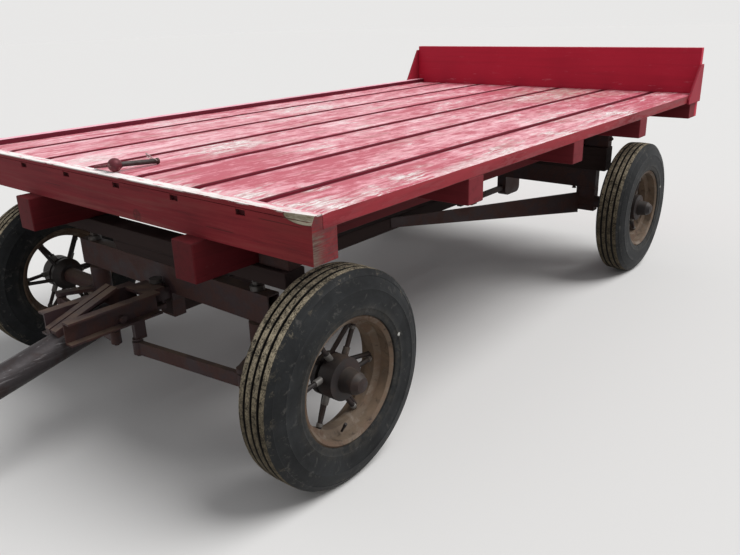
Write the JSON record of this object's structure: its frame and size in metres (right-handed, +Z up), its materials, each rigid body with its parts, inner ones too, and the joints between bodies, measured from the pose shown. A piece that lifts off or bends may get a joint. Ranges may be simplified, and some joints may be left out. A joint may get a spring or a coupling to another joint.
{
  "type": "flat deck hay wagon on four-wheel running gear",
  "caption": "Flat-deck hay wagon: wooden plank deck with headboard on a four-wheel running gear with spoked wheels, steering knuckles, reach pole and a pull tongue.",
  "frame": {"origin": "on the ground under the middle of the wagon's length and width, tongue included", "axes": "+X forwards along the tongue, +Y to the wagon's left, +Z up"},
  "size_m": [5.3908, 2.024, 1.216],
  "materials": {
    "deck_paint": "worn red paint on sawn planks, faded to pink",
    "board_paint": "dark red paint, fairly fresh",
    "frame_paint": "old dull red paint on timber",
    "bolster_timber": "dark weathered timber with traces of red",
    "gear_steel": "dark rusted paint",
    "bare_steel": "worn grey steel with rust",
    "rim_steel": "rusty brown paint",
    "tyre_rubber": "aged dark grey rubber, dusty tread"
  },
  "bodies": {
    "chassis": {"deck_planks": "deck_paint", "front_header": "frame_paint", "cross_bearers": "frame_paint", "sills": "frame_paint", "side_rail": "board_paint", "headboard": "board_paint", "headboard_gussets": "board_paint", "hitch_pin": "bare_steel", "front_axle_upper": "gear_steel", "front_axle_lower": "gear_steel", "kingpins": "bare_steel", "swivel_lug": "gear_steel", "swivel_pin": "bare_steel", "front_rocker": "frame_paint", "front_bolster": "bolster_timber", "rear_axle_beam": "gear_steel", "rear_axle_ends": "gear_steel", "rear_bolster": "bolster_timber", "bolster_stakes": "gear_steel", "reach_pole": "bolster_timber", "reach_bracket": "gear_steel", "reach_clamp": "gear_steel", "rear_hounds": "gear_steel"},
    "steering": {"steering_head": "gear_steel", "tongue_pivot_pin": "bare_steel"},
    "tongue": {"tongue_tube": "gear_steel", "tongue_straps": "bare_steel", "tongue_hitch": "bare_steel"},
    "knuckle_left": {"knuckle_left": "gear_steel"},
    "knuckle_right": {"knuckle_right": "gear_steel"},
    "tie_left": {"tie_rod_left": "gear_steel"},
    "tie_right": {"tie_rod_right": "gear_steel"},
    "wheel_front_left": {"tyre_front_left": "tyre_rubber", "rim_front_left": "rim_steel", "wheel_centre_front_left": "gear_steel"},
    "wheel_front_right": {"tyre_front_right": "tyre_rubber", "rim_front_right": "rim_steel", "wheel_centre_front_right": "gear_steel"},
    "wheel_rear_left": {"tyre_rear_left": "tyre_rubber", "rim_rear_left": "rim_steel", "wheel_centre_rear_left": "gear_steel"},
    "wheel_rear_right": {"tyre_rear_right": "tyre_rubber", "rim_rear_right": "rim_steel", "wheel_centre_rear_right": "gear_steel"}
  },
  "joints": [
    {"name": "tongue_swing", "type": "hinge", "parent": "chassis", "child": "steering", "pos_m": [0.44358, 0, 0.476], "axis": [0, 0, 1], "range_deg": [-30, 30]},
    {"name": "tongue_lift", "type": "hinge", "parent": "steering", "child": "tongue", "pos_m": [0.64358, 0, 0.455], "axis": [0, -1, 0], "range_deg": [0, 75]},
    {"name": "knuckle_left_turn", "type": "hinge", "parent": "chassis", "child": "knuckle_left", "pos_m": [0.38158, 0.51, 0.406], "axis": [0, 0, 1], "range_deg": [-30, 30]},
    {"name": "tie_left_turn", "type": "hinge", "parent": "steering", "child": "tie_left", "pos_m": [0.59858, 0.075, 0.33], "axis": [0, 0, 1], "range_deg": [-30, 30]},
    {"name": "knuckle_right_turn", "type": "hinge", "parent": "chassis", "child": "knuckle_right", "pos_m": [0.38158, -0.51, 0.406], "axis": [0, 0, 1], "range_deg": [-30, 30]},
    {"name": "tie_right_turn", "type": "hinge", "parent": "steering", "child": "tie_right", "pos_m": [0.59858, -0.075, 0.33], "axis": [0, 0, 1], "range_deg": [-30, 30]},
    {"name": "wheel_front_left_spin", "type": "hinge", "parent": "knuckle_left", "child": "wheel_front_left", "pos_m": [0.38158, 0.858, 0.366], "axis": [0, 1, 0], "continuous": true},
    {"name": "wheel_front_right_spin", "type": "hinge", "parent": "knuckle_right", "child": "wheel_front_right", "pos_m": [0.38158, -0.858, 0.366], "axis": [0, 1, 0], "continuous": true},
    {"name": "wheel_rear_left_spin", "type": "hinge", "parent": "chassis", "child": "wheel_rear_left", "pos_m": [-2.16542, 0.858, 0.366], "axis": [0, 1, 0], "continuous": true},
    {"name": "wheel_rear_right_spin", "type": "hinge", "parent": "chassis", "child": "wheel_rear_right", "pos_m": [-2.16542, -0.858, 0.366], "axis": [0, 1, 0], "continuous": true}
  ],
  "couplings": [
    {"joint": "knuckle_left_turn", "follows": "tongue_swing", "ratio": 1},
    {"joint": "tie_left_turn", "follows": "tongue_swing", "ratio": -1},
    {"joint": "knuckle_right_turn", "follows": "tongue_swing", "ratio": 1},
    {"joint": "tie_right_turn", "follows": "tongue_swing", "ratio": -1}
  ]
}
